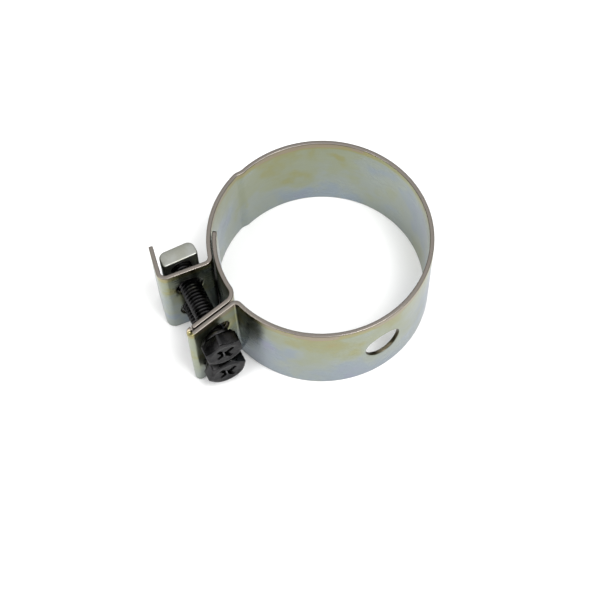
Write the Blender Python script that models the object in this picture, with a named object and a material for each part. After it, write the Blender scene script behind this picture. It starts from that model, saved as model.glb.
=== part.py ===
"""Two-bolt band clamp for a 58 mm hose or pipe.

Frame, in metres: origin on the loop's axis in the plane of the lower rim, +Z
along the axis, ears toward -X, screw heads toward -Y. The clamp is shown open.
The band closes when the two screws pull the front ear toward the rear ear.
"""

import math

import bmesh
import bpy

MM = 0.001

# Band: one strip of sheet steel
LOOP_OUTER_RADIUS = 30.2
SHEET = 1.2
BAND_WIDTH = 28.5
LOOP_RADIUS = LOOP_OUTER_RADIUS - SHEET / 2
LOOP_STEP_DEG = 5.0
BEND_STEPS = 5
SPLIT_GAP = 0.3

# Rear stretch of the loop, stepped outward to make room for the bridge strip
STEP_START_DEG = 110.0
STEP_END_DEG = 115.5
STEP_HEIGHT = 0.7
STEP_STEPS = 4
REAR_STRETCH_RADIUS = LOOP_RADIUS + STEP_HEIGHT

# Rear ear and its bent-back flange. An ear's offset is the distance of its
# middle plane from the loop's axis, positive toward the screw heads.
REAR_EAR_DEG = 176.3
REAR_EAR_OFFSET = -4.17
REAR_EAR_BEND = 2.1
REAR_EAR_END = 42.33
FLANGE_BEND = 1.9
FLANGE_TURN_DEG = 95.8
FLANGE_LENGTH = 8.65

# Front ear, two layers thick: the band's own end, then the bridge strip
FRONT_EAR_DEG = 194.5
FRONT_EAR_OFFSET = 0.075
FRONT_EAR_BEND = 1.4
HEM_START = 43.95
HEM_BEND = 0.75
HEM_LIP = 0.5

# Bridge strip
BRIDGE_RADIUS = 28.75
BRIDGE_OFFSET = -1.425
BRIDGE_BEND = 3.0
BRIDGE_END = 43.1
BRIDGE_TIP_DEG = 150.4

# Holes
LOCATING_HOLE_DEG = -83.0
LOCATING_HOLE_RADIUS = 5.3
REAR_HOLE_RADIUS = 3.8
REAR_HOLE_AT = 36.85
SLOT_LENGTH = 8.4
SLOT_WIDTH = 7.2
SLOT_AT = 37.2

# Rounded sheet corners
FLANGE_LOWER_CORNER = 1.3
FLANGE_UPPER_CORNER = 0.6
HEM_CORNER = 2.0

# M6 screws
SCREW_X = -36.5
SCREW_SPACING = 12.0
SCREW_LEVELS = {
    "upper": BAND_WIDTH / 2 + SCREW_SPACING / 2,
    "lower": BAND_WIDTH / 2 - SCREW_SPACING / 2,
}
HEAD_TURN_DEG = {"upper": 37.0, "lower": 13.0}
SHANK_RADIUS = 3.0
SHANK_LENGTH = 30.0
SHANK_CHAMFER = 0.7
HEAD_ACROSS_FLATS = 10.0
HEAD_HEIGHT = 3.7
HEAD_CHAMFER_RADIUS = 4.75
HEAD_CHAMFER_DROP = 0.6
RECESS_ARM = 3.1
RECESS_TURN_DEG = 37.0
RECESS_HALF_SLOT = 0.55
RECESS_DEPTH = 2.0
RECESS_TAPER = 0.45
HEAD_SEAT_Y = -12.9
ROUND_SIDES = 32

# Spring lock washers
WASHER_INNER_RADIUS = 3.3
WASHER_OUTER_RADIUS = 4.8
WASHER_THICKNESS = 1.1
WASHER_SLIT = 0.8
WASHER_SLIT_DEG = 45.0
WASHER_FACE_Y = -11.6

# Nut plate
NUT_X = -36.3
NUT_FRONT_Y = 11.8
NUT_WIDTH = 10.2
NUT_THICKNESS = 4.5
NUT_BOTTOM = 3.6
NUT_TOP = 24.9
NUT_REAR_CORNER = 2.0
NUT_FRONT_CORNER = 0.8
NUT_HOLE_RADIUS = 3.3

ZINC = (0.62, 0.62, 0.56)
ZINC_DARK = (0.50, 0.50, 0.46)
BLACK = (0.025, 0.025, 0.028)


def polar(radius, degrees):
    angle = math.radians(degrees)
    return radius * math.cos(angle), radius * math.sin(angle)


def sheet_material(name, colour, roughness):
    material = bpy.data.materials.new(name)
    material.use_nodes = True
    shader = material.node_tree.nodes["Principled BSDF"]
    shader.inputs["Base Color"].default_value = (*colour, 1.0)
    shader.inputs["Roughness"].default_value = roughness
    shader.inputs["Metallic"].default_value = 1.0
    return material


def finish(body, name, origin, material):
    """Turn a bmesh in millimetres into a named object with its own origin."""
    bmesh.ops.remove_doubles(body, verts=body.verts, dist=0.001)
    bmesh.ops.recalc_face_normals(body, faces=body.faces)
    for vertex in body.verts:
        vertex.co.x = (vertex.co.x - origin[0]) * MM
        vertex.co.y = (vertex.co.y - origin[1]) * MM
        vertex.co.z = (vertex.co.z - origin[2]) * MM
    mesh = bpy.data.meshes.new(name)
    body.to_mesh(mesh)
    body.free()
    thing = bpy.data.objects.new(name, mesh)
    bpy.context.scene.collection.objects.link(thing)
    thing.location = [value * MM for value in origin]
    if material is not None:
        mesh.materials.append(material)
        mesh.shade_smooth()
        mesh.set_sharp_from_angle(angle=math.radians(30))
    return thing


def prism(outline, place, depth):
    """Extrude a flat outline; place maps (a, b, c) to x, y, z, c from 0 to depth."""
    body = bmesh.new()
    near = [body.verts.new(place(a, b, 0.0)) for a, b in outline]
    far = [body.verts.new(place(a, b, depth)) for a, b in outline]
    body.faces.new(near)
    body.faces.new(reversed(far))
    count = len(outline)
    for index in range(count):
        after = (index + 1) % count
        body.faces.new((near[index], far[index], far[after], near[after]))
    return body


def lathe(profile, place, sides):
    """Turn (radius, height) pairs into a closed body of revolution."""
    body = bmesh.new()
    rings = []
    for radius, height in profile:
        ring = []
        for side in range(sides):
            a, b = polar(radius, 360.0 * side / sides)
            ring.append(body.verts.new(place(a, b, height)))
        rings.append(ring)
    for lower, upper in zip(rings, rings[1:]):
        for side in range(sides):
            after = (side + 1) % sides
            body.faces.new((lower[side], lower[after], upper[after], upper[side]))
    body.faces.new(rings[0])
    body.faces.new(reversed(rings[-1]))
    return body


def combine(target, operation, other):
    """Apply a Boolean to the target with a helper body that is not rendered."""
    other.hide_render = True
    other.display_type = "WIRE"
    modifier = target.modifiers.new(operation.title(), "BOOLEAN")
    modifier.operation = operation
    modifier.solver = "EXACT"
    modifier.object = other


def arc(centre, radius, start_deg, end_deg, steps):
    """Stations (x, y, heading in degrees) along an arc, both ends included."""
    lead = 90.0 if end_deg > start_deg else -90.0
    stations = []
    for index in range(steps + 1):
        angle = start_deg + (end_deg - start_deg) * index / steps
        x, y = polar(radius, angle)
        stations.append((centre[0] + x, centre[1] + y, angle + lead))
    return stations


def loop_arc(radius, start_deg, end_deg):
    steps = max(1, round(abs(end_deg - start_deg) / LOOP_STEP_DEG))
    return arc((0.0, 0.0), radius, start_deg, end_deg, steps)


def outward_step():
    """Stations of the smooth outward step, between its two end angles."""
    stations = []
    span = math.radians(STEP_END_DEG - STEP_START_DEG)
    for index in range(1, STEP_STEPS):
        part = index / STEP_STEPS
        angle = STEP_START_DEG + (STEP_END_DEG - STEP_START_DEG) * part
        radius = LOOP_RADIUS + STEP_HEIGHT * (1 - math.cos(math.pi * part)) / 2
        slope = STEP_HEIGHT * math.pi * math.sin(math.pi * part) / (2 * span)
        x, y = polar(radius, angle)
        stations.append((x, y, angle + 90.0 - math.degrees(math.atan2(slope, radius))))
    return stations


def on_ear(ear_deg, along, offset):
    """Plan position at a distance along an ear and an offset from its radial line."""
    u_x, u_y = polar(along, ear_deg)
    w_x, w_y = polar(offset, ear_deg + 90.0)
    return u_x + w_x, u_y + w_y


def ear_bend(ear_deg, offset, loop_radius, bend_radius, side):
    """Bend from the loop to an ear.

    side is +1 for a loop that arrives on the screw-head side, -1 for the other.
    Returns the loop angle where it starts and its stations in that direction.
    """
    middle = offset + side * bend_radius
    along = math.sqrt((loop_radius + bend_radius) ** 2 - middle ** 2)
    centre = on_ear(ear_deg, along, middle)
    loop_deg = ear_deg + math.degrees(math.atan2(middle, along))
    start = loop_deg + 180.0
    end = ear_deg - 90.0 * side
    while end - start > 180.0:
        end -= 360.0
    while start - end > 180.0:
        end += 360.0
    return loop_deg, arc(centre, bend_radius, start, end, BEND_STEPS)


def strip(stations, bottom, top):
    """Closed sheet body around a centre line, extruded along Z."""
    left = []
    right = []
    for x, y, heading in stations:
        n_x, n_y = polar(SHEET / 2, heading + 90.0)
        left.append((x + n_x, y + n_y))
        right.append((x - n_x, y - n_y))
    outline = left + right[::-1]
    return prism(outline, lambda a, b, c: (a, b, bottom + c), top - bottom)


def rounded_slot(length, width, steps):
    """Outline of a slot with round ends; a circle when length equals width."""
    radius = width / 2
    shift = (length - width) / 2
    outline = []
    for end, first in ((shift, -90.0), (-shift, 90.0)):
        for index in range(steps + 1):
            a, b = polar(radius, first + 180.0 * index / steps)
            outline.append((end + a, b))
    return outline


def ear_cutter(name, ear_deg, along, offset, level, length, width):
    """Slot cutter that passes through an ear, centred at a level."""
    reach = 4.0

    def place(a, b, c):
        x, y = on_ear(ear_deg, along + a, offset - reach / 2 + c)
        return x, y, level + b

    outline = rounded_slot(length, width, ROUND_SIDES // 2)
    if length == width:
        outline = outline[: ROUND_SIDES // 2] + outline[ROUND_SIDES // 2 + 1 : -1]
    return finish(prism(outline, place, reach), name, (0.0, 0.0, 0.0), None)


def corner_cutter(name, place, radius, depth):
    """Cuts a rounded corner. The corner is at (0, 0), the sheet at a < 0, b < 0."""
    margin = 1.0
    outline = [(-radius, margin), (margin, margin), (margin, -radius)]
    steps = 6
    for index in range(steps + 1):
        a, b = polar(radius, 90.0 * index / steps)
        outline.append((a - radius, b - radius))
    return finish(prism(outline, place, depth), name, (0.0, 0.0, 0.0), None)


def cut_sheet_corners(target, prefix, end_point, heading, upper, lower):
    """Round both corners of a sheet that ends at end_point with this heading."""
    depth = 6.0
    levels = (("upper", BAND_WIDTH, 1.0, upper), ("lower", 0.0, -1.0, lower))
    for label, rim, sign, radius in levels:

        def place(a, b, c):
            u_x, u_y = polar(a, heading)
            n_x, n_y = polar(c - depth / 2, heading + 90.0)
            return end_point[0] + u_x + n_x, end_point[1] + u_y + n_y, rim + sign * b

        cutter = corner_cutter(f"cut_{prefix}_{label}", place, radius, depth)
        combine(target, "DIFFERENCE", cutter)


def band_rear_half(material):
    bend_deg, bend = ear_bend(
        REAR_EAR_DEG, REAR_EAR_OFFSET, REAR_STRETCH_RADIUS, REAR_EAR_BEND, -1
    )
    split_deg = math.degrees(SPLIT_GAP / 2 / LOOP_RADIUS)
    stations = loop_arc(LOOP_RADIUS, split_deg, STEP_START_DEG)
    stations += outward_step()
    stations += loop_arc(REAR_STRETCH_RADIUS, STEP_END_DEG, bend_deg)
    stations += bend[1:]
    middle = REAR_EAR_OFFSET - FLANGE_BEND
    centre = on_ear(REAR_EAR_DEG, REAR_EAR_END, middle)
    turn_start = REAR_EAR_DEG + 90.0
    turn_end = turn_start - FLANGE_TURN_DEG
    stations += arc(centre, FLANGE_BEND, turn_start, turn_end, BEND_STEPS)
    heading = REAR_EAR_DEG - FLANGE_TURN_DEG
    tip_x, tip_y = polar(FLANGE_LENGTH, heading)
    tip = (stations[-1][0] + tip_x, stations[-1][1] + tip_y)
    stations.append((*tip, heading))
    body = strip(stations, 0.0, BAND_WIDTH)
    half = finish(body, "band_rear_half", (0.0, 0.0, 0.0), material)
    cut_sheet_corners(
        half, "flange", tip, heading, FLANGE_UPPER_CORNER, FLANGE_LOWER_CORNER
    )
    size = 2 * REAR_HOLE_RADIUS
    for label, level in SCREW_LEVELS.items():
        cutter = ear_cutter(
            f"cut_rear_hole_{label}",
            REAR_EAR_DEG,
            REAR_HOLE_AT,
            REAR_EAR_OFFSET,
            level,
            size,
            size,
        )
        combine(half, "DIFFERENCE", cutter)
    return half


def cut_screw_slots(target, prefix, offset):
    for label, level in SCREW_LEVELS.items():
        cutter = ear_cutter(
            f"cut_{prefix}_slot_{label}",
            FRONT_EAR_DEG,
            SLOT_AT,
            offset,
            level,
            SLOT_LENGTH,
            SLOT_WIDTH,
        )
        combine(target, "DIFFERENCE", cutter)


def band_front_half(material):
    ear_deg = FRONT_EAR_DEG - 360.0
    bend_deg, bend = ear_bend(
        ear_deg, FRONT_EAR_OFFSET, LOOP_RADIUS, FRONT_EAR_BEND, 1
    )
    split_deg = -math.degrees(SPLIT_GAP / 2 / LOOP_RADIUS)
    stations = loop_arc(LOOP_RADIUS, split_deg, bend_deg)
    stations += bend[1:]
    middle = FRONT_EAR_OFFSET - HEM_BEND
    centre = on_ear(ear_deg, HEM_START, middle)
    start = ear_deg + 90.0
    stations += arc(centre, HEM_BEND, start, start - 180.0, 2 * BEND_STEPS)
    lip = on_ear(ear_deg, HEM_START - HEM_LIP, middle - HEM_BEND)
    stations.append((*lip, ear_deg - 180.0))
    body = strip(stations, 0.0, BAND_WIDTH)
    half = finish(body, "band_front_half", (0.0, 0.0, 0.0), material)
    outer = on_ear(ear_deg, HEM_START + HEM_BEND + SHEET / 2, middle)
    cut_sheet_corners(half, "hem", outer, ear_deg, HEM_CORNER, HEM_CORNER)
    cut_screw_slots(half, "ear", FRONT_EAR_OFFSET)
    reach = 6.0

    def place(a, b, c):
        x, y = polar(LOOP_RADIUS - reach / 2 + c, LOCATING_HOLE_DEG)
        t_x, t_y = polar(a, LOCATING_HOLE_DEG + 90.0)
        return x + t_x, y + t_y, BAND_WIDTH / 2 + b

    profile = [(LOCATING_HOLE_RADIUS, 0.0), (LOCATING_HOLE_RADIUS, reach)]
    body = lathe(profile, place, ROUND_SIDES)
    cutter = finish(body, "cut_locating_hole", (0.0, 0.0, 0.0), None)
    combine(half, "DIFFERENCE", cutter)
    return half


def bridge_strip(material):
    bend_deg, bend = ear_bend(
        FRONT_EAR_DEG, BRIDGE_OFFSET, BRIDGE_RADIUS, BRIDGE_BEND, -1
    )
    stations = loop_arc(BRIDGE_RADIUS, BRIDGE_TIP_DEG, bend_deg)
    stations += bend[1:]
    end = on_ear(FRONT_EAR_DEG, BRIDGE_END, BRIDGE_OFFSET)
    stations.append((*end, FRONT_EAR_DEG))
    body = strip(stations, 0.0, BAND_WIDTH)
    bridge = finish(body, "bridge_strip", (0.0, 0.0, 0.0), material)
    cut_screw_slots(bridge, "bridge", BRIDGE_OFFSET)
    return bridge


def along_y(level, start_y, sign):
    """Placer for bodies on a screw axis, growing from start_y toward sign * Y."""
    return lambda a, b, c: (SCREW_X + a, start_y + sign * c, level + b)


def screw(name, level, turn_deg, material):
    """Hexagon screw with a cross recess; its plain shank stands for the thread."""
    origin = (SCREW_X, HEAD_SEAT_Y, level)
    corner = HEAD_ACROSS_FLATS / 2 / math.cos(math.radians(30))
    hexagon = [polar(corner, 60.0 * index + turn_deg) for index in range(6)]
    toward_head = along_y(level, HEAD_SEAT_Y, -1.0)
    head = finish(prism(hexagon, toward_head, HEAD_HEIGHT), name, origin, material)

    wide = corner + 1.0
    run = (wide - HEAD_CHAMFER_RADIUS) * HEAD_CHAMFER_DROP / (corner - HEAD_CHAMFER_RADIUS)
    profile = [(wide, -1.0), (wide, HEAD_HEIGHT - run), (HEAD_CHAMFER_RADIUS, HEAD_HEIGHT)]
    chamfer = finish(lathe(profile, toward_head, ROUND_SIDES), f"{name}_chamfer", origin, None)
    combine(head, "INTERSECT", chamfer)

    overlap = 0.5
    away = along_y(level, HEAD_SEAT_Y - overlap, 1.0)
    end = overlap + SHANK_LENGTH
    profile = [
        (SHANK_RADIUS, 0.0),
        (SHANK_RADIUS, end - SHANK_CHAMFER),
        (SHANK_RADIUS - SHANK_CHAMFER, end),
    ]
    shank = finish(lathe(profile, away, ROUND_SIDES), f"{name}_shank", origin, None)
    combine(head, "UNION", shank)

    slot = RECESS_HALF_SLOT
    arm = RECESS_ARM
    cross = []
    for quarter in range(4):
        turn = math.radians(90.0 * quarter + RECESS_TURN_DEG)
        for a, b in ((arm, -slot), (arm, slot), (slot, slot)):
            x = a * math.cos(turn) - b * math.sin(turn)
            y = a * math.sin(turn) + b * math.cos(turn)
            cross.append((x, y))
    lift = 0.5
    body = prism(cross, lambda a, b, c: (a, b, c), RECESS_DEPTH + lift)
    into_head = along_y(level, HEAD_SEAT_Y - HEAD_HEIGHT - lift, 1.0)
    for vertex in body.verts:
        scale = RECESS_TAPER if vertex.co.z > lift else 1.0
        vertex.co = into_head(vertex.co.x * scale, vertex.co.y * scale, vertex.co.z)
    recess = finish(body, f"{name}_recess", origin, None)
    combine(head, "DIFFERENCE", recess)
    return head


def lock_washer(name, level, material):
    """Split ring; the slit faces up, on the loop's side."""
    half_outer = math.degrees(math.asin(WASHER_SLIT / 2 / WASHER_OUTER_RADIUS))
    half_inner = math.degrees(math.asin(WASHER_SLIT / 2 / WASHER_INNER_RADIUS))
    steps = ROUND_SIDES - 2
    outline = []
    rims = ((WASHER_OUTER_RADIUS, half_outer, 1), (WASHER_INNER_RADIUS, half_inner, -1))
    for radius, half, sense in rims:
        rim = []
        for index in range(steps + 1):
            part = index / steps
            rim.append(polar(radius, WASHER_SLIT_DEG + half + (360.0 - 2 * half) * part))
        outline += rim[::sense]
    body = prism(outline, along_y(level, WASHER_FACE_Y, -1.0), WASHER_THICKNESS)
    return finish(body, name, (SCREW_X, WASHER_FACE_Y, level), material)


def nut_plate(material):
    """Rounded bar with two holes that stand for its tapped holes."""
    half = NUT_WIDTH / 2
    corners = (
        (half - NUT_FRONT_CORNER, NUT_FRONT_CORNER, NUT_FRONT_CORNER, -90.0),
        (half - NUT_REAR_CORNER, NUT_THICKNESS - NUT_REAR_CORNER, NUT_REAR_CORNER, 0.0),
        (NUT_REAR_CORNER - half, NUT_THICKNESS - NUT_REAR_CORNER, NUT_REAR_CORNER, 90.0),
        (NUT_FRONT_CORNER - half, NUT_FRONT_CORNER, NUT_FRONT_CORNER, 180.0),
    )
    steps = 5
    outline = []
    for x, y, radius, first in corners:
        for index in range(steps + 1):
            a, b = polar(radius, first + 90.0 * index / steps)
            outline.append((NUT_X + x + a, NUT_FRONT_Y + y + b))
    body = prism(outline, lambda a, b, c: (a, b, NUT_BOTTOM + c), NUT_TOP - NUT_BOTTOM)
    origin = (NUT_X, NUT_FRONT_Y, BAND_WIDTH / 2)
    plate = finish(body, "nut_plate", origin, material)
    for label, level in SCREW_LEVELS.items():
        profile = [(NUT_HOLE_RADIUS, 0.0), (NUT_HOLE_RADIUS, NUT_THICKNESS + 2.0)]
        place = along_y(level, NUT_FRONT_Y - 1.0, 1.0)
        body = lathe(profile, place, ROUND_SIDES)
        cutter = finish(body, f"cut_nut_hole_{label}", (0.0, 0.0, 0.0), None)
        combine(plate, "DIFFERENCE", cutter)
    return plate


def main():
    for thing in list(bpy.data.objects):
        bpy.data.objects.remove(thing, do_unlink=True)
    band_rear_half(sheet_material("zinc_band_rear", ZINC, 0.35))
    band_front_half(sheet_material("zinc_band_front", ZINC, 0.35))
    bridge_strip(sheet_material("zinc_bridge", ZINC_DARK, 0.4))
    nut_plate(sheet_material("zinc_nut_plate", ZINC, 0.45))
    for label, level in SCREW_LEVELS.items():
        black = sheet_material(f"black_bolt_{label}", BLACK, 0.4)
        screw(f"bolt_{label}", level, HEAD_TURN_DEG[label], black)
        lock_washer(
            f"lock_washer_{label}",
            level,
            sheet_material(f"black_washer_{label}", BLACK, 0.5),
        )


main()
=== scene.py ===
"""Looks for the two-bolt band clamp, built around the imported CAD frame.

Sheet-metal pieces are drawn flat, with their holes and rounded edges, and then
wrapped around the same centre lines as the CAD. Plan sizes are in millimetres
until a mesh is made; s runs along a strip and z across it.
"""

import math

import bmesh
import bpy
from mathutils import Matrix, Vector

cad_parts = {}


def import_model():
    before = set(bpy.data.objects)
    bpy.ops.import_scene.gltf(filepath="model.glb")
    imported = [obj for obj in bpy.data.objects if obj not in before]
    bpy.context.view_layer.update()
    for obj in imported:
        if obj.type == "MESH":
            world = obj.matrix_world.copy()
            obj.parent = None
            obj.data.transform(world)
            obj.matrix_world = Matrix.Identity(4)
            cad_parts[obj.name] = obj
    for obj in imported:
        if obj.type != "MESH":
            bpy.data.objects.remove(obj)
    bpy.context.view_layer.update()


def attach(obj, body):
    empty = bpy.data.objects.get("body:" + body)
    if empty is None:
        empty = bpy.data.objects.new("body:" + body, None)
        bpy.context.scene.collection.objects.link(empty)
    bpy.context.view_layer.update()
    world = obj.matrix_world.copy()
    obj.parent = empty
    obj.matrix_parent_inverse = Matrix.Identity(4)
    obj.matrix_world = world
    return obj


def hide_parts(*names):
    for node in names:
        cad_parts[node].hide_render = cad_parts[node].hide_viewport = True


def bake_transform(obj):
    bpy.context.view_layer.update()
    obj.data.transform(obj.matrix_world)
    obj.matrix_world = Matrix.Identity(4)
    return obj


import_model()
MM = 0.001

# The same plan as the CAD
SHEET = 1.2
WIDTH = 28.5
LOOP_RADIUS = 29.6
STEP_START, STEP_END, STEP_HEIGHT = 110.0, 115.5, 0.7
REAR_RADIUS = LOOP_RADIUS + STEP_HEIGHT
REAR_EAR = {"deg": 176.3, "offset": -4.17, "bend": 2.1, "side": -1}
REAR_EAR_END = 42.33
FLANGE_BEND, FLANGE_TURN, FLANGE_LENGTH = 1.9, 95.8, 8.65
FRONT_EAR = {"deg": 194.5, "offset": 0.075, "bend": 1.4, "side": 1}
HEM_START, HEM_BEND, HEM_LIP = 43.95, 0.75, 0.5
BRIDGE_EAR = {"deg": 194.5, "offset": -1.425, "bend": 3.0, "side": -1}
BRIDGE_RADIUS, BRIDGE_END, BRIDGE_TIP = 28.75, 43.1, 150.4
HOLE_DEG, HOLE_RADIUS = -83.0, 5.3
REAR_HOLE_RADIUS, REAR_HOLE_AT = 3.8, 36.85
SLOT_LENGTH, SLOT_WIDTH, SLOT_AT = 8.4, 7.2, 37.2
LEVELS = {"upper": 20.25, "lower": 8.25}
# Rounding of the sheared edges, and the corners of the strips seen flat
EDGE = 0.24
SHARP = 0.001
FLANGE_UPPER_CORNER, FLANGE_LOWER_CORNER, HEM_CORNER = 0.6, 1.3, 2.0
BRIDGE_TIP_CORNER, BRIDGE_END_CORNER = 0.6, 0.4
# Rows a flat sheet is cut into, and the distances below which points are merged
ROWS = 6
MERGE, DEGENERATE = 0.012, 0.004


def polar(radius, degrees):
    angle = math.radians(degrees)
    return radius * math.cos(angle), radius * math.sin(angle)


def on_ear(deg, along, offset):
    u_x, u_y = polar(along, deg)
    w_x, w_y = polar(offset, deg + 90.0)
    return u_x + w_x, u_y + w_y


class Path:
    """Centre line in plan: stations (x, y, heading) with the length run so far."""

    def __init__(self):
        self.stations = []
        self.length = [0.0]
        self.marks = {}

    def add(self, x, y, heading):
        if self.stations:
            last = self.stations[-1]
            step = math.hypot(x - last[0], y - last[1])
            if step < 1e-5:
                return
            self.length.append(self.length[-1] + step)
            heading += 360.0 * round((last[2] - heading) / 360.0)
        self.stations.append((x, y, heading))

    def mark(self, name):
        self.marks[name] = self.length[-1]

    def arc(self, centre, radius, start, end, step=2.0):
        lead = 90.0 if end > start else -90.0
        count = max(2, math.ceil(abs(end - start) / step))
        for index in range(count + 1):
            angle = start + (end - start) * index / count
            x, y = polar(radius, angle)
            self.add(centre[0] + x, centre[1] + y, angle + lead)

    def line(self, target, step=2.5):
        x, y, heading = self.stations[-1]
        count = max(1, math.ceil(math.hypot(target[0] - x, target[1] - y) / step))
        for index in range(1, count + 1):
            part = index / count
            self.add(x + (target[0] - x) * part, y + (target[1] - y) * part, heading)

    def step_in(self):
        """The smooth step from the rear stretch back to the loop's own radius."""
        span = math.radians(STEP_END - STEP_START)
        count = 10
        for index in range(1, count):
            part = 1 - index / count
            angle = STEP_START + (STEP_END - STEP_START) * part
            radius = LOOP_RADIUS + STEP_HEIGHT * (1 - math.cos(math.pi * part)) / 2
            slope = STEP_HEIGHT * math.pi * math.sin(math.pi * part) / (2 * span)
            x, y = polar(radius, angle)
            lean = math.degrees(math.atan2(slope, radius))
            self.add(x, y, angle - 90.0 - lean)

    def place(self, s, z, n):
        """Row-frame position of the flat point (s, z) at height n off the sheet."""
        low, high = 0, len(self.length) - 1
        while high - low > 1:
            middle = (low + high) // 2
            if self.length[middle] <= s:
                low = middle
            else:
                high = middle
        run = self.length[high] - self.length[low]
        part = (s - self.length[low]) / run
        x0, y0, h0 = self.stations[low]
        x1, y1, h1 = self.stations[high]
        part = min(max(part, 0.0), 1.0)
        heading = h0 + (h1 - h0) * part
        n_x, n_y = polar(n, heading + 90.0)
        return Vector((x0 + (x1 - x0) * part + n_x, y0 + (y1 - y0) * part + n_y, z)) * MM


def bend(ear, loop_radius):
    """Centre, loop angle and arc angles of the bend from the loop to an ear."""
    middle = ear["offset"] + ear["side"] * ear["bend"]
    along = math.sqrt((loop_radius + ear["bend"]) ** 2 - middle ** 2)
    centre = on_ear(ear["deg"], along, middle)
    loop_deg = ear["deg"] + math.degrees(math.atan2(middle, along))
    start = loop_deg + 180.0
    end = ear["deg"] - 90.0 * ear["side"]
    while end - start > 180.0:
        end -= 360.0
    while start - end > 180.0:
        end += 360.0
    return centre, loop_deg, start, end, along


def band_path():
    """From the flange's tip round the loop to the hem's lip."""
    path = Path()
    deg = REAR_EAR["deg"]
    turn_start = deg + 90.0
    turn_end = turn_start - FLANGE_TURN
    turn_centre = on_ear(deg, REAR_EAR_END, REAR_EAR["offset"] - FLANGE_BEND)
    corner = polar(FLANGE_BEND, turn_end)
    heading = deg - FLANGE_TURN
    run = polar(FLANGE_LENGTH, heading)
    foot = (turn_centre[0] + corner[0], turn_centre[1] + corner[1])
    path.add(foot[0] + run[0], foot[1] + run[1], heading - 180.0)
    path.line(foot)
    path.arc(turn_centre, FLANGE_BEND, turn_end, turn_start, 6.0)
    path.mark("rear_ear_out")
    centre, loop_deg, start, end, along = bend(REAR_EAR, REAR_RADIUS)
    path.line(on_ear(deg, along, REAR_EAR["offset"]))
    path.mark("rear_ear_in")
    path.arc(centre, REAR_EAR["bend"], end, start, 6.0)
    path.arc((0, 0), REAR_RADIUS, loop_deg, STEP_END)
    path.step_in()
    centre, loop_deg, start, end, along = bend(FRONT_EAR, LOOP_RADIUS)
    path.arc((0, 0), LOOP_RADIUS, STEP_START, HOLE_DEG)
    path.mark("hole")
    path.arc((0, 0), LOOP_RADIUS, HOLE_DEG, loop_deg - 360.0)
    path.arc(centre, FRONT_EAR["bend"], start - 360.0, end - 360.0, 6.0)
    path.mark("front_ear_in")
    deg = FRONT_EAR["deg"]
    path.line(on_ear(deg, HEM_START, FRONT_EAR["offset"]))
    path.mark("hem")
    hem_centre = on_ear(deg, HEM_START, FRONT_EAR["offset"] - HEM_BEND)
    path.arc(hem_centre, HEM_BEND, deg + 90.0 - 360.0, deg - 90.0 - 360.0, 12.0)
    path.line(on_ear(deg, HEM_START - HEM_LIP, FRONT_EAR["offset"] - 2 * HEM_BEND))
    path.front_ear_along = along
    return path


def bridge_path():
    """From the tip inside the loop to the end behind the front ear."""
    path = Path()
    centre, loop_deg, start, end, along = bend(BRIDGE_EAR, BRIDGE_RADIUS)
    path.arc((0, 0), BRIDGE_RADIUS, BRIDGE_TIP, loop_deg)
    path.arc(centre, BRIDGE_EAR["bend"], start, end, 5.0)
    path.mark("ear_in")
    path.line(on_ear(BRIDGE_EAR["deg"], BRIDGE_END, BRIDGE_EAR["offset"]))
    path.ear_along = along
    return path


def circle(s, z, radius, count=48):
    around = (polar(radius, 360.0 * i / count) for i in range(count))
    return [(s + a, z + b) for a, b in around]


def slot(s, z, length, width, count=20):
    shift = (length - width) / 2
    points = []
    for move, first in ((shift, -90.0), (-shift, 90.0)):
        for index in range(count + 1):
            a, b = polar(width / 2, first + 180.0 * index / count)
            points.append((s + move + a, z + b))
    return points


def rounded_rectangle(s0, s1, z0, z1, radii, count=8):
    """radii: at (s1, z1), (s0, z1), (s0, z0), (s1, z0), counter-clockwise."""
    corners = (
        (s1, z1, -1, -1, 0),
        (s0, z1, 1, -1, 90),
        (s0, z0, 1, 1, 180),
        (s1, z0, -1, 1, 270),
    )
    points = []
    for (s, z, a, b, first), radius in zip(corners, radii):
        for index in range(count + 1):
            x, y = polar(radius, first + 90.0 * index / count)
            points.append((s + a * radius + x, z + b * radius + y))
    return points


def flat_sheet(name, outlines, thickness, edge):
    """Flat plate with holes and rounded edges, as a bmesh in millimetres."""
    curve = bpy.data.curves.new(name, "CURVE")
    curve.dimensions = "2D"
    curve.fill_mode = "BOTH"
    curve.extrude = thickness / 2 - edge
    curve.bevel_depth = edge
    curve.bevel_resolution = 2
    curve.offset = -edge
    for outline in outlines:
        spline = curve.splines.new("POLY")
        spline.points.add(len(outline) - 1)
        for point, (a, b) in zip(spline.points, outline):
            point.co = (a, b, 0.0, 1.0)
        spline.use_cyclic_u = True
    thing = bpy.data.objects.new(name, curve)
    bpy.context.scene.collection.objects.link(thing)
    graph = bpy.context.evaluated_depsgraph_get()
    mesh = bpy.data.meshes.new_from_object(thing.evaluated_get(graph))
    body = bmesh.new()
    body.from_mesh(mesh)
    bpy.data.objects.remove(thing, do_unlink=True)
    bpy.data.curves.remove(curve)
    bpy.data.meshes.remove(mesh)
    bmesh.ops.remove_doubles(body, verts=body.verts, dist=1e-4)
    return body


def cut_across(body, axis, values):
    """Split every face where it crosses the given positions along an axis."""
    normal = Vector((0, 0, 0))
    normal[axis] = 1.0
    for value in values:
        point = Vector((0, 0, 0))
        point[axis] = value
        geometry = body.verts[:] + body.edges[:] + body.faces[:]
        bmesh.ops.bisect_plane(body, geom=geometry, dist=1e-5, plane_co=point, plane_no=normal)


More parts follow.
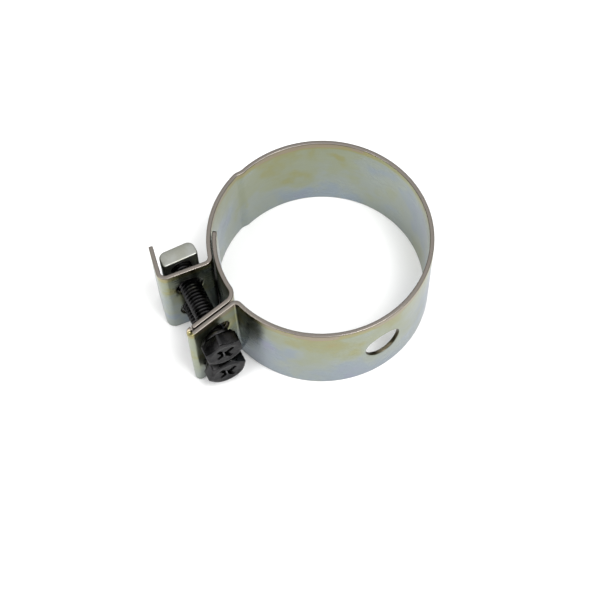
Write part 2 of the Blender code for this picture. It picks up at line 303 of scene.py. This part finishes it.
def wrap(name, path, outlines, material):
    """Draw the sheet flat, cut it at the path's stations and bend it round the path."""
    body = flat_sheet(name, outlines, SHEET, EDGE)
    cut_across(body, 0, path.length[1:-1])
    cut_across(body, 1, [WIDTH * k / ROWS for k in range(1, ROWS)])
    bmesh.ops.remove_doubles(body, verts=body.verts, dist=MERGE)
    bmesh.ops.dissolve_degenerate(body, edges=body.edges, dist=DEGENERATE)
    strip = body.verts.layers.float_vector.new("strip")
    rest = body.verts.layers.float_vector.new("rest")
    for vertex in body.verts:
        s, z, n = vertex.co
        vertex[strip] = Vector((s, z, n)) * MM
        vertex.co = path.place(s, z, n)
        vertex[rest] = vertex.co
    return mesh_object(name, body, material)


def mesh_object(name, body, material, angle=32.0):
    bmesh.ops.dissolve_degenerate(body, edges=body.edges, dist=1e-7)
    bmesh.ops.recalc_face_normals(body, faces=body.faces)
    mesh = bpy.data.meshes.new(name)
    body.to_mesh(mesh)
    body.free()
    mesh.materials.append(material)
    mesh.shade_smooth()
    mesh.set_sharp_from_angle(angle=math.radians(angle))
    thing = bpy.data.objects.new(name, mesh)
    bpy.context.scene.collection.objects.link(thing)
    return thing


def apply_modifiers(thing):
    """Bake the modifiers into the mesh and remove their helper objects."""
    helpers = [m.object for m in thing.modifiers if m.type == "BOOLEAN"]
    graph = bpy.context.evaluated_depsgraph_get()
    mesh = bpy.data.meshes.new_from_object(thing.evaluated_get(graph))
    thing.modifiers.clear()
    old = thing.data
    thing.data = mesh
    bpy.data.meshes.remove(old)
    for helper in helpers:
        bpy.data.objects.remove(helper, do_unlink=True)


# ---------------------------------------------------------------- materials


class Nodes:
    """Short way to write a node tree."""

    def __init__(self, name):
        self.material = bpy.data.materials.new(name)
        self.material.use_nodes = True
        self.tree = self.material.node_tree
        self.tree.nodes.clear()
        self.shader = self.add("ShaderNodeBsdfPrincipled")
        output = self.add("ShaderNodeOutputMaterial")
        self.tree.links.new(self.shader.outputs[0], output.inputs["Surface"])

    def add(self, kind, **settings):
        node = self.tree.nodes.new(kind)
        for key, value in settings.items():
            setattr(node, key, value)
        return node

    def link(self, source, target):
        self.tree.links.new(source, target)

    def put(self, value, target):
        if hasattr(value, "links"):
            self.link(value, target)
        else:
            target.default_value = value

    def object_coords(self):
        return self.add("ShaderNodeTexCoord").outputs["Object"]

    def attribute(self, name):
        return self.add("ShaderNodeAttribute", attribute_name=name).outputs["Vector"]

    def scaled(self, vector, scale, shift=(0, 0, 0)):
        node = self.add("ShaderNodeMapping")
        self.link(vector, node.inputs["Vector"])
        node.inputs["Location"].default_value = shift
        node.inputs["Scale"].default_value = scale
        return node.outputs[0]

    def noise(self, vector, scale, detail=4.0, rough=0.55, distortion=0.0):
        node = self.add("ShaderNodeTexNoise")
        self.link(vector, node.inputs["Vector"])
        node.inputs["Scale"].default_value = scale
        node.inputs["Detail"].default_value = detail
        node.inputs["Roughness"].default_value = rough
        node.inputs["Distortion"].default_value = distortion
        return node.outputs["Fac"]

    def math(self, operation, a, b=0.0):
        node = self.add("ShaderNodeMath", operation=operation)
        self.put(a, node.inputs[0])
        self.put(b, node.inputs[1])
        return node.outputs[0]

    def range(self, value, low, high, out_low=0.0, out_high=1.0, smooth=True):
        node = self.add("ShaderNodeMapRange", clamp=True)
        node.interpolation_type = "SMOOTHSTEP" if smooth else "LINEAR"
        self.put(value, node.inputs["Value"])
        for key, number in zip(
            ("From Min", "From Max", "To Min", "To Max"), (low, high, out_low, out_high)
        ):
            node.inputs[key].default_value = number
        return node.outputs[0]

    def mix(self, factor, a, b):
        node = self.add("ShaderNodeMix", data_type="RGBA")
        self.put(factor, node.inputs[0])
        for value, socket in ((a, node.inputs[6]), (b, node.inputs[7])):
            if hasattr(value, "links"):
                self.link(value, socket)
            else:
                socket.default_value = (*value, 1.0)
        return node.outputs[2]

    def ramp(self, value, stops):
        node = self.add("ShaderNodeValToRGB")
        self.link(value, node.inputs[0])
        line = node.color_ramp
        line.interpolation = "EASE"
        while len(line.elements) < len(stops):
            line.elements.new(0.5)
        for element, (at, colour) in zip(line.elements, stops):
            element.position = at
            element.color = (*colour, 1.0)
        return node.outputs[0]

    def bump(self, height, strength, distance, before=None):
        node = self.add("ShaderNodeBump")
        node.inputs["Strength"].default_value = strength
        node.inputs["Distance"].default_value = distance
        self.link(height, node.inputs["Height"])
        if before is not None:
            self.link(before, node.inputs["Normal"])
        return node.outputs[0]


# Thickness of the yellow passivation film, from thin (violet) to thick (amber)
FILM = (
    (0.00, (0.255, 0.225, 0.265)),
    (0.20, (0.210, 0.225, 0.300)),
    (0.36, (0.215, 0.255, 0.285)),
    (0.50, (0.245, 0.275, 0.245)),
    (0.64, (0.245, 0.268, 0.190)),
    (0.80, (0.242, 0.246, 0.120)),
    (0.93, (0.258, 0.232, 0.100)),
    (1.00, (0.260, 0.215, 0.150)),
)
# How far noise pushes the patches' outlines about, in m
RAGGED = 0.016
# Where the film is thicker or thinner: centre and reach in mm, then how much
PATCHES = (
    ((-14, -27, 25), 13, 0.20),
    ((-6, -29, 19), 9, 0.26),
    ((9, -29, 26), 9, 0.10),
    ((-22, -21, 16), 9, -0.26),
    ((-7, -29, 5), 14, -0.06),
    ((23, -19, 14), 17, -0.34),
    ((29, -2, 16), 12, -0.34),
    ((7, 28, 12), 7, 0.22),
    ((17, 23, 21), 5, 0.20),
    ((0, 29, 25), 12, 0.10),
    ((5, 29, 2), 12, -0.12),
    ((-20, 21, 14), 10, -0.20),
    ((-10.5, 27.3, 14), 3, 0.12),
    ((-44.0, 12, 14), 8, -0.26),
    ((-43.5, 6.5, 5), 5, -0.20),
    ((-41.5, 6.3, 20), 5, 0.34),
    ((-38, 6.4, 2), 6, -0.18),
    ((-33, -9, 19), 8, 0.30),
    ((-43.5, -11, 14), 6, 0.28),
    ((-34, 6, 18), 8, 0.24),
)


def zinc(name, seed):
    """Bright zinc with a thin passivation film, rolled along the strip."""
    n = Nodes(name)
    place = n.attribute("rest")
    strip = n.attribute("strip")
    cloud = n.noise(n.scaled(place, (1, 1, 0.8), seed), 50.0, 3.0, 0.5, 0.5)
    small = n.noise(n.scaled(place, (1, 1, 1), seed), 210.0, 4.0, 0.6)
    rolled = n.noise(n.scaled(strip, (30, 900, 30)), 4.0, 5.0, 0.6)
    fine = n.noise(n.scaled(strip, (110, 2600, 110)), 3.0, 5.0, 0.6)
    axes = n.add("ShaderNodeSeparateXYZ")
    n.link(strip, axes.inputs[0])
    across, depth = axes.outputs[1], axes.outputs[2]

    film = n.range(cloud, 0.25, 0.75, 0.34, 0.70, False)
    film = n.math("ADD", film, n.range(small, 0.3, 0.7, -0.05, 0.05))
    film = n.math("ADD", film, n.range(across, 0.0, WIDTH * MM, -0.08, 0.10, False))
    film = n.math("ADD", film, n.range(across, 0.0258, 0.0272, 0.0, 0.32))
    ragged = n.add("ShaderNodeTexNoise")
    n.link(place, ragged.inputs["Vector"])
    ragged.inputs["Scale"].default_value = 130.0
    ragged.inputs["Detail"].default_value = 3.0
    bent = n.add("ShaderNodeVectorMath", operation="MULTIPLY_ADD")
    n.link(ragged.outputs["Color"], bent.inputs[0])
    bent.inputs[1].default_value = (RAGGED, RAGGED, RAGGED)
    n.link(place, bent.inputs[2])
    for centre, reach, amount in PATCHES:
        away = n.add("ShaderNodeVectorMath", operation="DISTANCE")
        n.link(bent.outputs[0], away.inputs[0])
        away.inputs[1].default_value = Vector(centre) * MM + Vector((RAGGED,) * 3) / 2
        spot = n.range(away.outputs["Value"], 0.0, reach * MM, amount, 0.0)
        film = n.math("ADD", film, spot)
    colour = n.ramp(film, FILM)
    streak = n.range(rolled, 0.35, 0.75, 0.0, 0.16)
    colour = n.mix(streak, colour, (0.17, 0.17, 0.155))

    # Sheared edges: bare metal along the rims; the side walls of the punched holes get a dark
    # brownish painted shade
    middle = WIDTH * MM / 2
    off_middle = n.math("ABSOLUTE", n.math("SUBTRACT", across, middle))
    cut = n.range(off_middle, middle - 0.00022, middle - 0.00008)
    colour = n.mix(cut, colour, (0.200, 0.180, 0.160))
    # Painted shade: side walls away from the rims are darkened in colour, standing in for the
    # shade inside the holes
    wall = n.range(n.math("ABSOLUTE", depth), 0.00054, 0.00046)
    hole_wall_painted_shade = n.math("MULTIPLY", wall, n.range(off_middle, middle - 0.0008, middle - 0.0012))
    colour = n.mix(hole_wall_painted_shade, colour, (0.11, 0.095, 0.065))
    n.link(colour, n.shader.inputs["Base Color"])
    n.shader.inputs["Metallic"].default_value = 1.0
    rough = n.range(cloud, 0.3, 0.7, 0.22, 0.30)
    rough = n.math("ADD", rough, n.range(fine, 0.3, 0.7, 0.0, 0.08))
    n.link(rough, n.shader.inputs["Roughness"])
    normal = n.bump(rolled, 0.10, 0.00004)
    normal = n.bump(fine, 0.08, 0.00002, normal)
    n.link(normal, n.shader.inputs["Normal"])
    return n.material


def black_steel(name, shift):
    """Black oxide with a thin oil film, worn a little and pitted by forging."""
    n = Nodes(name)
    place = n.scaled(n.object_coords(), (1, 1, 1), shift)
    pits = n.noise(place, 1500.0, 4.0, 0.6)
    cloud = n.noise(place, 330.0, 4.0, 0.6)
    worn = n.range(cloud, 0.35, 0.70)
    colour = n.mix(worn, (0.024, 0.024, 0.025), (0.052, 0.051, 0.052))
    n.link(colour, n.shader.inputs["Base Color"])
    n.shader.inputs["Metallic"].default_value = 1.0
    n.shader.inputs["Specular Tint"].default_value = (0.6, 0.6, 0.6, 1.0)
    n.link(n.range(cloud, 0.3, 0.7, 0.20, 0.34), n.shader.inputs["Roughness"])
    n.link(n.bump(pits, 0.22, 0.00005), n.shader.inputs["Normal"])
    return n.material


def nut_metal(name):
    """Zinc on a sheared bar: matt and slightly grainy all over."""
    n = Nodes(name)
    place = n.object_coords()
    grain = n.noise(place, 1700.0, 5.0, 0.65)
    cloud = n.noise(place, 160.0, 4.0, 0.6, 0.4)
    dull = n.range(cloud, 0.35, 0.65)
    colour = n.mix(dull, (0.35, 0.358, 0.335), (0.30, 0.305, 0.265))
    n.link(colour, n.shader.inputs["Base Color"])
    n.shader.inputs["Metallic"].default_value = 1.0
    n.link(n.range(grain, 0.3, 0.7, 0.34, 0.52), n.shader.inputs["Roughness"])
    n.link(n.bump(grain, 0.25, 0.00006), n.shader.inputs["Normal"])
    return n.material


# ------------------------------------------------------------------- pieces

band_line = band_path()
bridge_line = bridge_path()


def hem_inset(path, s):
    """How far the rounded hem corner cuts in from the rims at s."""
    radius = HEM_CORNER
    outer = HEM_START + HEM_BEND + SHEET / 2
    past = s - path.marks["hem"]
    if past < 0:
        along = HEM_START + past
    elif past < math.pi * HEM_BEND:
        along = HEM_START + HEM_BEND * math.sin(past / HEM_BEND)
    else:
        along = HEM_START - (past - math.pi * HEM_BEND)
    short = radius - (outer - along)
    if short <= 0:
        return 0.0
    return radius - math.sqrt(max(radius ** 2 - short ** 2, 0.0))


def band_outlines(path):
    end = path.length[-1]
    first = path.marks["hem"] - 2.0
    count = 24
    ends = [first + (end - first) * k / count for k in range(count + 1)]
    top = [(s, WIDTH - hem_inset(path, s)) for s in ends]
    bottom = [(s, hem_inset(path, s)) for s in ends]
    steps = 8
    radii = (SHARP, FLANGE_UPPER_CORNER, FLANGE_LOWER_CORNER, SHARP)
    tip = rounded_rectangle(0.0, first, 0.0, WIDTH, radii, steps)
    per_corner = steps + 1
    flange_corners = tip[per_corner:3 * per_corner]
    outline = bottom + top[::-1] + flange_corners
    holes = []
    ear_s = path.marks["rear_ear_in"]
    along = bend(REAR_EAR, REAR_RADIUS)[4]
    for level in LEVELS.values():
        holes.append(circle(ear_s - (REAR_HOLE_AT - along), level, REAR_HOLE_RADIUS))
        s = path.marks["front_ear_in"] + SLOT_AT - path.front_ear_along
        holes.append(slot(s, level, SLOT_LENGTH, SLOT_WIDTH))
    holes.append(circle(path.marks["hole"], WIDTH / 2, HOLE_RADIUS, 64))
    return [outline] + holes


def bridge_outlines(path):
    radii = (BRIDGE_END_CORNER, BRIDGE_TIP_CORNER, BRIDGE_TIP_CORNER, BRIDGE_END_CORNER)
    outline = rounded_rectangle(0.0, path.length[-1], 0.0, WIDTH, radii, 3)
    holes = []
    for level in LEVELS.values():
        s = path.marks["ear_in"] + SLOT_AT - path.ear_along
        holes.append(slot(s, level, SLOT_LENGTH, SLOT_WIDTH))
    return [outline] + holes


band = wrap("band", band_line, band_outlines(band_line), zinc("zinc_band", (0.0, 0.0, 0.0)))
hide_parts("band_rear_half", "band_front_half")
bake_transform(band)

bridge_zinc = zinc("zinc_bridge", (0.4, 0.1, 0.2))
bridge = wrap("bridge", bridge_line, bridge_outlines(bridge_line), bridge_zinc)
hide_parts("bridge_strip")
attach(bridge, "front_half")

# Screws
SCREW_X, SEAT_Y = -36.5, -12.9
HEAD_HEIGHT, HEAD_FLATS, HEAD_FACE = 3.7, 10.0, 4.6
HEAD_TURN = {"upper": 37.0, "lower": 13.0}
RECESS_TURN = 37.0
# Depth, arm length and half width of each wing, from the mouth to the bottom
RECESS = ((-0.5, 3.3, 0.82), (0.0, 3.1, 0.74), (1.9, 1.5, 0.46), (2.4, 0.6, 0.2))
THREAD_CREST, THREAD_ROOT, PITCH = 2.96, 2.40, 1.0
SHANK_LENGTH = 30.0
# How far the thread starts inside the head, and the slope of its tail's chamfer
THREAD_OVERLAP, TAIL_SLOPE, TAIL_DROP = 0.3, 0.9, 0.15
# The hexagon's corners are cut back to this radius, its top to this many degrees
CORNER_RADIUS, TOP_CHAMFER_DEG = 5.68, 27.0


def place_on(level, seat, sign):
    """Maps (a, b, height) on a screw's axis to the row frame."""
    return lambda a, b, c: Vector((SCREW_X + a, seat + sign * c, level + b)) * MM


def rings_body(rings, place):
    """Capped body through closed rings of (a, b, height) points."""
    body = bmesh.new()
    made = [[body.verts.new(place(*p)) for p in ring] for ring in rings]
    count = len(made[0])
    for lower, upper in zip(made, made[1:]):
        for index in range(count):
            after = (index + 1) % count
            body.faces.new((lower[index], lower[after], upper[after], upper[index]))
    body.faces.new(made[0])
    body.faces.new(made[-1][::-1])
    return body


def hex_reach(angle):
    """Distance from the centre to the hexagon's side at an angle from a corner."""
    flat = HEAD_FLATS / 2
    reach = flat / math.cos(math.radians((angle % 60.0) - 30.0))
    return min(reach, CORNER_RADIUS)


def head_body(level, turn):
    """Hexagon head: washer face, rolled lower edge, chamfered and slightly dished top."""
    count = 120
    slope = math.tan(math.radians(TOP_CHAMFER_DEG))
    rings = []

    def ring(shrink, height_of):
        points = []
        for index in range(count):
            angle = 360.0 * index / count
            reach = hex_reach(angle)
            radius = shrink(reach)
            a, b = polar(radius, angle + turn)
            points.append((a, b, height_of(radius)))
        rings.append(points)

    def cone(r):
        return HEAD_HEIGHT - max(r - HEAD_FACE, 0.0) * slope

    ring(lambda r: 4.0, lambda r: 0.0)
    ring(lambda r: r - 0.14, lambda r: 0.0)
    ring(lambda r: r - 0.04, lambda r: 0.04)
    ring(lambda r: r, lambda r: 0.14)
    ring(lambda r: r, lambda r: cone(r) - 0.14)
    ring(lambda r: r - 0.03, lambda r: cone(r) - 0.04)
    ring(lambda r: r - 0.12, lambda r: cone(r) + 0.01)
    ring(lambda r: HEAD_FACE + 0.10, lambda r: HEAD_HEIGHT - 0.05)
    ring(lambda r: HEAD_FACE - 0.05, lambda r: HEAD_HEIGHT)
    ring(lambda r: 4.0, lambda r: HEAD_HEIGHT)
    ring(lambda r: 3.6, lambda r: HEAD_HEIGHT - 0.10)
    return rings_body(rings, place_on(level, SEAT_Y, -1.0))


def recess_body(level):
    """Cross recess cutter: four tapered wings round a narrowing core."""
    rings = []
    for depth, arm, half in RECESS:
        points = []
        fillet = half * 1.45
        for quarter in range(4):
            base = 90.0 * quarter + RECESS_TURN
            corner = (
                (arm, -half * 0.8),
                (arm + 0.06, 0.0),
                (arm, half * 0.8),
                (fillet, half),
                (half, fillet),
            )
            for a, b in corner:
                radius, angle = math.hypot(a, b), math.degrees(math.atan2(b, a))
                points.append((*polar(radius, angle + base), HEAD_HEIGHT - depth))
        rings.append(points)
    return rings_body(rings, place_on(level, SEAT_Y, -1.0))


def thread_body(crest, root, pitch, start, end, chamfer, place):
    """Helical thread: four profile points a turn, closed by caps at both ends."""
    sides = 48
    shape = ((0.0, root), (0.10, root), (0.44, crest), (0.66, crest))
    turns = math.ceil((end - start) / pitch) + 2
    body = bmesh.new()
    rows = []
    for row in range(turns * len(shape)):
        turn, (share, radius) = row // len(shape), shape[row % len(shape)]
        points = []
        for side in range(sides):
            height = start + pitch * (turn - 1 + share + side / sides)
            at = min(max(height, start), end)
            limit = root - TAIL_DROP + max(end - at, 0.0) * chamfer
            reach = min(radius, limit)
            if height < start:
                reach = root
            elif height > end:
                reach = root - TAIL_DROP
            points.append(body.verts.new(place(*polar(reach, 360.0 * side / sides), at)))
        rows.append(points)
    step = len(shape)
    for row in range(len(rows) - 1):
        here, above = rows[row], rows[row + 1]
        for side in range(sides - 1):
            body.faces.new((here[side], here[side + 1], above[side + 1], above[side]))
        # The last side joins the first one a turn further on
        if row + step + 1 < len(rows):
            body.faces.new((here[-1], rows[row + step][0], rows[row + step + 1][0], above[-1]))
    bmesh.ops.remove_doubles(body, verts=body.verts, dist=1e-8)
    loose = [edge for edge in body.edges if edge.is_boundary]
    bmesh.ops.holes_fill(body, edges=loose, sides=0)
    return body


def screw(label, level):
    turn = HEAD_TURN[label]
    material = black_steel(f"black_screw_{label}", (0.0, 0.0, level * 0.01))
    head = mesh_object(f"screw_{label}", head_body(level, turn), material)
    cutter = mesh_object(f"recess_{label}", recess_body(level), material)
    modifier = head.modifiers.new("Recess", "BOOLEAN")
    modifier.operation = "DIFFERENCE"
    modifier.solver = "EXACT"
    modifier.object = cutter
    apply_modifiers(head)
    body = bmesh.new()
    body.from_mesh(head.data)
    place = place_on(level, SEAT_Y, 1.0)
    thread = thread_body(
        THREAD_CREST, THREAD_ROOT, PITCH, -THREAD_OVERLAP, SHANK_LENGTH, TAIL_SLOPE, place
    )
    extra = bpy.data.meshes.new("thread")
    thread.to_mesh(extra)
    thread.free()
    body.from_mesh(extra)
    bpy.data.meshes.remove(extra)
    bpy.data.objects.remove(head, do_unlink=True)
    done = mesh_object(f"screw_{label}", body, material, 30.0)
    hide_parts(f"bolt_{label}")
    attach(done, f"screw_{label}")


# Spring lock washers
WASHER_FACE = -11.55
WASHER_THICKNESS, WASHER_RISE = 1.0, 0.22
WASHER_INNER, WASHER_OUTER = 3.25, 4.8
WASHER_ROUND = 0.16
SLIT_DEG, SLIT_GAP_DEG = 45.0, 9.0


def lock_washer(label, level):
    """Split ring of rounded square wire whose ends stand apart."""
    place = place_on(level, WASHER_FACE, -1.0)
    count = 72
    half_t = WASHER_THICKNESS / 2
    middle, half_w = (WASHER_INNER + WASHER_OUTER) / 2, (WASHER_OUTER - WASHER_INNER) / 2
    section = []
    for a, b, first in ((1, 1, 0), (-1, 1, 90), (-1, -1, 180), (1, -1, 270)):
        for index in range(4):
            x, y = polar(WASHER_ROUND, first + 30.0 * index)
            section.append((a * (half_w - WASHER_ROUND) + x, b * (half_t - WASHER_ROUND) + y))
    rings = []
    for index in range(count + 1):
        part = index / count
        angle = SLIT_DEG + SLIT_GAP_DEG / 2 + (360.0 - SLIT_GAP_DEG) * part
        lift = half_t + WASHER_RISE * part
        rings.append([(*polar(middle + x, angle), lift + y) for x, y in section])
    material = black_steel(f"black_washer_{label}", (0.1, 0.0, level * 0.02))
    washer = mesh_object(f"lock_washer_ring_{label}", rings_body(rings, place), material)
    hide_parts(f"lock_washer_{label}")
    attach(washer, f"washer_{label}")


for label, level in LEVELS.items():
    screw(label, level)
    lock_washer(label, level)

# Nut plate
NUT_X, NUT_FRONT, NUT_WIDTH, NUT_DEPTH = -36.3, 11.8, 10.2, 4.5
NUT_BOTTOM, NUT_TOP = 3.6, 24.9
NUT_EDGE = 0.35
TAPPED_RADIUS, COUNTERSINK_RADIUS, COUNTERSINK_DEPTH = 3.02, 3.4, 0.38


def nut_plate():
    """Rounded bar with two countersunk tapped holes."""
    radii = (2.0, 2.0, 0.8, 0.8)
    half = NUT_WIDTH / 2
    outline = rounded_rectangle(-half, half, 0.0, NUT_DEPTH, radii, 8)
    body = flat_sheet("nut", [outline], NUT_TOP - NUT_BOTTOM, NUT_EDGE)
    middle = (NUT_TOP + NUT_BOTTOM) / 2
    for vertex in body.verts:
        a, b, c = vertex.co
        vertex.co = Vector((NUT_X + a, NUT_FRONT + b, middle + c)) * MM
    material = nut_metal("zinc_nut_plate")
    plate = mesh_object("nut_bar", body, material)
    for label, level in LEVELS.items():
        place = place_on(level, NUT_FRONT, 1.0)
        rings = []
        profile = (
            (-0.5, COUNTERSINK_RADIUS + 0.5),
            (0.0, COUNTERSINK_RADIUS),
            (COUNTERSINK_DEPTH, TAPPED_RADIUS),
            (NUT_DEPTH - COUNTERSINK_DEPTH, TAPPED_RADIUS),
            (NUT_DEPTH, COUNTERSINK_RADIUS),
            (NUT_DEPTH + 0.5, COUNTERSINK_RADIUS + 0.5),
        )
        for height, radius in profile:
            rings.append([(*polar(radius, 360.0 * k / 64), height) for k in range(64)])
        cutter = mesh_object(f"nut_hole_{label}", rings_body(rings, place), material)
        modifier = plate.modifiers.new("Hole", "BOOLEAN")
        modifier.operation = "DIFFERENCE"
        modifier.solver = "EXACT"
        modifier.object = cutter
    apply_modifiers(plate)
    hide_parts("nut_plate")
    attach(plate, "nut")


nut_plate()

# -------------------------------------------------------- floor, light, view

# Height of the gradient's ends on the unit sphere, and its strength there
SKY = (0.30, 0.86, 0.05, 1.35)
CAMERA_RIGHT = (0.8986, -0.4385, -0.0177)
CAMERA_FORWARD = (0.1831, 0.4113, -0.8929)
CAMERA_PLACE = (-0.0806, -0.1653, 0.3551)


def floor():
    mesh = bpy.data.meshes.new("floor")
    half, level = 3.0, -0.0001
    corners = [(-half, -half), (half, -half), (half, half), (-half, half)]
    mesh.from_pydata([(x, y, level) for x, y in corners], [], [(0, 1, 2, 3)])
    n = Nodes("floor_white")
    n.shader.inputs["Base Color"].default_value = (0.96, 0.96, 0.96, 1.0)
    n.shader.inputs["Roughness"].default_value = 0.9
    mesh.materials.append(n.material)
    thing = bpy.data.objects.new("floor", mesh)
    bpy.context.scene.collection.objects.link(thing)


def area_light(name, place, size, power):
    """Square light aimed at the origin."""
    data = bpy.data.lights.new(name, "AREA")
    data.shape = "RECTANGLE"
    data.size = data.size_y = size
    data.energy = power
    thing = bpy.data.objects.new(name, data)
    bpy.context.scene.collection.objects.link(thing)
    thing.location = place
    direction = -Vector(place)
    thing.rotation_euler = direction.to_track_quat("-Z", "Y").to_euler()


def world():
    """Bright overhead, dark towards the horizon, so bevels and gaps read."""
    sky = bpy.data.worlds.new("studio")
    bpy.context.scene.world = sky
    sky.use_nodes = True
    tree = sky.node_tree
    shader = tree.nodes["Background"]
    coords = tree.nodes.new("ShaderNodeTexCoord")
    axes = tree.nodes.new("ShaderNodeSeparateXYZ")
    height = tree.nodes.new("ShaderNodeMapRange")
    height.interpolation_type = "SMOOTHSTEP"
    tree.links.new(coords.outputs["Generated"], axes.inputs[0])
    tree.links.new(axes.outputs[2], height.inputs["Value"])
    for key, number in zip(("From Min", "From Max", "To Min", "To Max"), SKY):
        height.inputs[key].default_value = number
    tree.links.new(height.outputs[0], shader.inputs["Strength"])
    shader.inputs["Color"].default_value = (1.0, 1.0, 1.0, 1.0)


def camera():
    data = bpy.data.cameras.new("camera")
    data.sensor_width = 36.0
    data.lens = 84.0
    thing = bpy.data.objects.new("camera", data)
    bpy.context.scene.collection.objects.link(thing)
    right = Vector(CAMERA_RIGHT).normalized()
    forward = Vector(CAMERA_FORWARD).normalized()
    up = right.cross(forward).normalized()
    right = forward.cross(up)
    rotation = Matrix((right, up, -forward)).transposed()
    thing.matrix_world = Matrix.Translation(CAMERA_PLACE) @ rotation.to_4x4()
    bpy.context.scene.camera = thing


floor()
world()
area_light("key", (0.16, -0.34, 0.85), 0.34, 5.0)
area_light("fill", (-0.6, -0.1, 0.7), 0.4, 2.5)
camera()
bpy.context.scene.view_settings.view_transform = "Standard"
